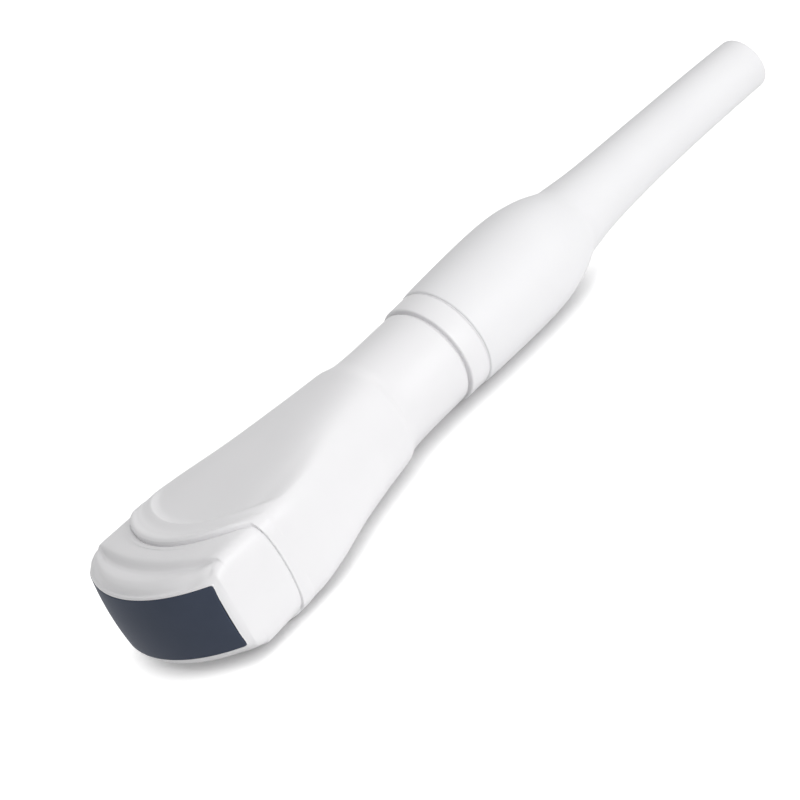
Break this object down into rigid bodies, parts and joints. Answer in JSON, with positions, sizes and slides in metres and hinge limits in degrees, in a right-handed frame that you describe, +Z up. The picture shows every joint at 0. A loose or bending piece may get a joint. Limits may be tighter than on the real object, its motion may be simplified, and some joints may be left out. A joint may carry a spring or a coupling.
{
  "type": "ultrasound transducer probe",
  "caption": "Convex ultrasound transducer probe with a curved lens, a broad stepped head, a waisted round neck, a trim ring and a long bend relief boot for its cable.",
  "frame": {"origin": "on the surface that the probe lies on, under the middle of its length and width", "axes": "+X along the probe from the lens to the cable end, +Y across its width, +Z up through its thickness"},
  "size_m": [0.2432, 0.0516, 0.0306],
  "materials": {
    "white_shell": "satin moulded",
    "white_boot": "matte soft overmoulding",
    "lens_rubber": "satin silicone",
    "layer_resin": "ground resin",
    "ceramic": "diced ceramic",
    "backing_resin": "filled resin",
    "frame_plastic": "moulded",
    "flex_film": "polyimide film",
    "board_laminate": "solder resist",
    "steel": "plain",
    "copper": "thin formed sheet",
    "brass": "turned",
    "black_rubber": "moulded"
  },
  "bodies": {
    "root": {"acoustic_lens": "lens_rubber", "outer_matching_layer": "layer_resin", "inner_matching_layer": "layer_resin", "piezo_array": "ceramic", "backing_block": "backing_resin", "nosepiece": "white_shell", "grip_housing": "white_shell", "nose_seal": "black_rubber", "array_carrier": "frame_plastic", "chassis_plate": "steel", "termination_board_upper": "board_laminate", "termination_board_lower": "board_laminate", "flex_connector_upper": "frame_plastic", "flex_connector_lower": "frame_plastic", "board_spacer_front_left": "brass", "board_spacer_front_right": "brass", "board_spacer_rear_left": "brass", "board_spacer_rear_right": "brass", "board_screw_upper_front_left": "steel", "board_screw_upper_front_right": "steel", "board_screw_upper_rear_left": "steel", "board_screw_upper_rear_right": "steel", "board_screw_lower_front_left": "steel", "board_screw_lower_front_right": "steel", "board_screw_lower_rear_left": "steel", "board_screw_lower_rear_right": "steel", "flex_circuit_upper": "flex_film", "flex_circuit_lower": "flex_film", "shield_sleeve": "copper", "coupling_sleeve": "frame_plastic", "neck_o_ring": "black_rubber", "boot_o_ring": "black_rubber", "trim_ring": "white_shell", "cable_clamp_upper": "frame_plastic", "cable_clamp_lower": "frame_plastic", "clamp_screw_left": "steel", "clamp_screw_right": "steel", "braid_ferrule": "brass", "bend_relief_boot": "white_boot"}
  },
  "joints": []
}
